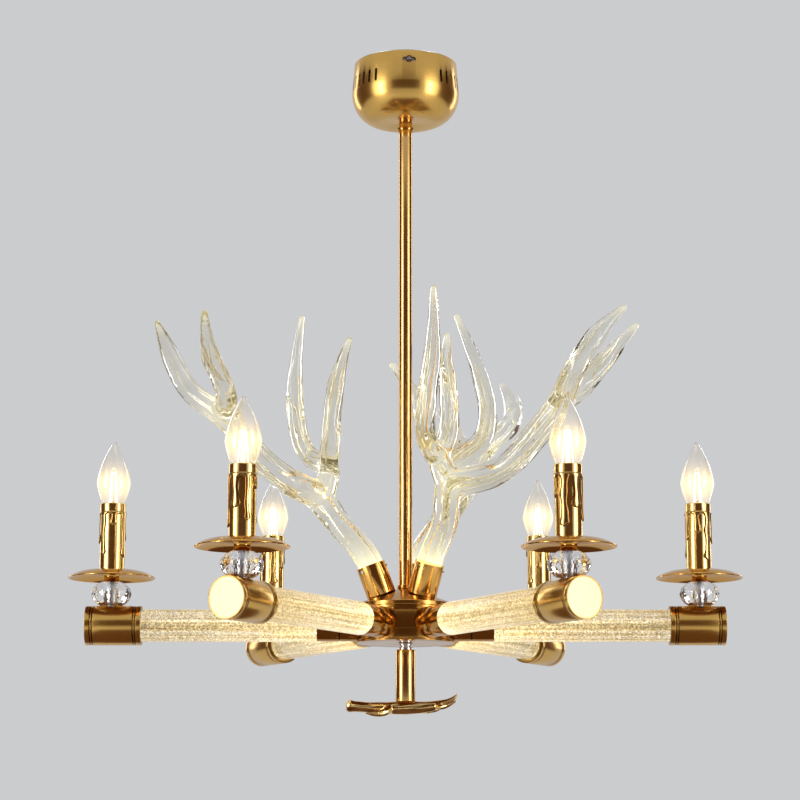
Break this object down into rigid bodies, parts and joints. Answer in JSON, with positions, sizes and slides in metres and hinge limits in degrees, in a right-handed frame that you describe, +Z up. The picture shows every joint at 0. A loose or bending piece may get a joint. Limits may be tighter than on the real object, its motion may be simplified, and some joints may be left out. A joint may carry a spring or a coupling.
{
  "type": "antler chandelier",
  "caption": "Ceiling chandelier: clear rod arms with candle lamps and crystal beads round a brass hub that carries clear antlers.",
  "frame": {"origin": "centre of the ceiling bracket's upper face, on the ceiling plane and the lamp's axis", "axes": "+Z up out of the bracket into the ceiling; -Y is the front, seen between two arms; +X to the viewer's right, along one arm"},
  "size_m": [0.6886, 0.6082, 0.6878],
  "materials": {
    "brass_satin": "brushed antique brass",
    "brass_gloss": "polished brass",
    "brass_cast": "polished cast brass",
    "steel": "zinc plated",
    "chrome": "bright plated",
    "clear_acrylic": "clear, polished, with flow lines",
    "bubble_acrylic": "clear, full of fine bubbles",
    "opal_acrylic": "opal, lit from behind",
    "crystal_glass": "faceted and polished",
    "bulb_glass": "clear",
    "filament": "glowing thread",
    "lamp_board": "white board with lamps",
    "white_plastic": "moulded",
    "dark_plastic": "moulded"
  },
  "bodies": {
    "fixture": {"ceiling_bracket": "steel", "canopy_shell": "brass_satin", "canopy_side_screws": "chrome", "led_driver": "white_plastic", "terminal_block": "white_plastic", "canopy_tube": "steel", "tube_nuts": "steel", "rod_rings": "brass_satin", "down_rod": "brass_satin", "hub_cover": "brass_satin", "hub_drum": "brass_satin", "hub_base_plate": "brass_satin", "hub_tube": "steel", "antler_1": "clear_acrylic", "antler_2": "clear_acrylic", "antler_3": "clear_acrylic", "antler_sockets": "brass_satin", "antler_set_screws": "chrome", "antler_led_boards": "lamp_board", "arm_collars": "brass_satin", "arm_led_boards": "lamp_board", "crystal_rods": "bubble_acrylic", "arm_tie_tubes": "steel", "arm_tie_nuts": "steel", "end_caps": "brass_satin", "end_lenses": "opal_acrylic", "end_led_boards": "lamp_board", "candle_tubes": "steel", "crystal_beads": "crystal_glass", "bead_necks": "brass_satin", "drip_pans": "brass_satin", "lamp_holders": "dark_plastic", "finial_neck": "chrome", "finial_stem": "brass_satin", "finial_stud": "steel", "finial_antler": "brass_cast"},
    "sleeve_1": {"candle_sleeve_1": "brass_gloss"},
    "cap_1": {"bulb_cap_1": "chrome"},
    "bulb_1": {"bulb_glass_1": "bulb_glass", "bulb_filament_1": "filament"},
    "sleeve_2": {"candle_sleeve_2": "brass_gloss"},
    "cap_2": {"bulb_cap_2": "chrome"},
    "bulb_2": {"bulb_glass_2": "bulb_glass", "bulb_filament_2": "filament"},
    "sleeve_3": {"candle_sleeve_3": "brass_gloss"},
    "cap_3": {"bulb_cap_3": "chrome"},
    "bulb_3": {"bulb_glass_3": "bulb_glass", "bulb_filament_3": "filament"},
    "sleeve_4": {"candle_sleeve_4": "brass_gloss"},
    "cap_4": {"bulb_cap_4": "chrome"},
    "bulb_4": {"bulb_glass_4": "bulb_glass", "bulb_filament_4": "filament"},
    "sleeve_5": {"candle_sleeve_5": "brass_gloss"},
    "cap_5": {"bulb_cap_5": "chrome"},
    "bulb_5": {"bulb_glass_5": "bulb_glass", "bulb_filament_5": "filament"},
    "sleeve_6": {"candle_sleeve_6": "brass_gloss"},
    "cap_6": {"bulb_cap_6": "chrome"},
    "bulb_6": {"bulb_glass_6": "bulb_glass", "bulb_filament_6": "filament"}
  },
  "joints": [
    {"name": "sleeve_1_turn", "type": "hinge", "parent": "fixture", "child": "sleeve_1", "pos_m": [0.3, 0, -0.5], "axis": [0, 0, 1], "continuous": true},
    {"name": "bulb_1_rise", "type": "slide", "parent": "fixture", "child": "cap_1", "axis": [0, 0, 1], "range_m": [0, 0.00846]},
    {"name": "bulb_1_unscrew", "type": "hinge", "parent": "cap_1", "child": "bulb_1", "pos_m": [0.3, 0, -0.5], "axis": [0, 0, 1], "range_deg": [0, 1080]},
    {"name": "sleeve_2_turn", "type": "hinge", "parent": "fixture", "child": "sleeve_2", "pos_m": [0.15, 0.25981, -0.5], "axis": [0, 0, 1], "continuous": true},
    {"name": "bulb_2_rise", "type": "slide", "parent": "fixture", "child": "cap_2", "axis": [0, 0, 1], "range_m": [0, 0.00846]},
    {"name": "bulb_2_unscrew", "type": "hinge", "parent": "cap_2", "child": "bulb_2", "pos_m": [0.15, 0.25981, -0.5], "axis": [0, 0, 1], "range_deg": [0, 1080]},
    {"name": "sleeve_3_turn", "type": "hinge", "parent": "fixture", "child": "sleeve_3", "pos_m": [-0.15, 0.25981, -0.5], "axis": [0, 0, 1], "continuous": true},
    {"name": "bulb_3_rise", "type": "slide", "parent": "fixture", "child": "cap_3", "axis": [0, 0, 1], "range_m": [0, 0.00846]},
    {"name": "bulb_3_unscrew", "type": "hinge", "parent": "cap_3", "child": "bulb_3", "pos_m": [-0.15, 0.25981, -0.5], "axis": [0, 0, 1], "range_deg": [0, 1080]},
    {"name": "sleeve_4_turn", "type": "hinge", "parent": "fixture", "child": "sleeve_4", "pos_m": [-0.3, 0, -0.5], "axis": [0, 0, 1], "continuous": true},
    {"name": "bulb_4_rise", "type": "slide", "parent": "fixture", "child": "cap_4", "axis": [0, 0, 1], "range_m": [0, 0.00846]},
    {"name": "bulb_4_unscrew", "type": "hinge", "parent": "cap_4", "child": "bulb_4", "pos_m": [-0.3, 0, -0.5], "axis": [0, 0, 1], "range_deg": [0, 1080]},
    {"name": "sleeve_5_turn", "type": "hinge", "parent": "fixture", "child": "sleeve_5", "pos_m": [-0.15, -0.25981, -0.5], "axis": [0, 0, 1], "continuous": true},
    {"name": "bulb_5_rise", "type": "slide", "parent": "fixture", "child": "cap_5", "axis": [0, 0, 1], "range_m": [0, 0.00846]},
    {"name": "bulb_5_unscrew", "type": "hinge", "parent": "cap_5", "child": "bulb_5", "pos_m": [-0.15, -0.25981, -0.5], "axis": [0, 0, 1], "range_deg": [0, 1080]},
    {"name": "sleeve_6_turn", "type": "hinge", "parent": "fixture", "child": "sleeve_6", "pos_m": [0.15, -0.25981, -0.5], "axis": [0, 0, 1], "continuous": true},
    {"name": "bulb_6_rise", "type": "slide", "parent": "fixture", "child": "cap_6", "axis": [0, 0, 1], "range_m": [0, 0.00846]},
    {"name": "bulb_6_unscrew", "type": "hinge", "parent": "cap_6", "child": "bulb_6", "pos_m": [0.15, -0.25981, -0.5], "axis": [0, 0, 1], "range_deg": [0, 1080]}
  ],
  "couplings": [
    {"joint": "bulb_1_unscrew", "follows": "bulb_1_rise", "rad_per_m": 2228.1},
    {"joint": "bulb_2_unscrew", "follows": "bulb_2_rise", "rad_per_m": 2228.1},
    {"joint": "bulb_3_unscrew", "follows": "bulb_3_rise", "rad_per_m": 2228.1},
    {"joint": "bulb_4_unscrew", "follows": "bulb_4_rise", "rad_per_m": 2228.1},
    {"joint": "bulb_5_unscrew", "follows": "bulb_5_rise", "rad_per_m": 2228.1},
    {"joint": "bulb_6_unscrew", "follows": "bulb_6_rise", "rad_per_m": 2228.1}
  ]
}
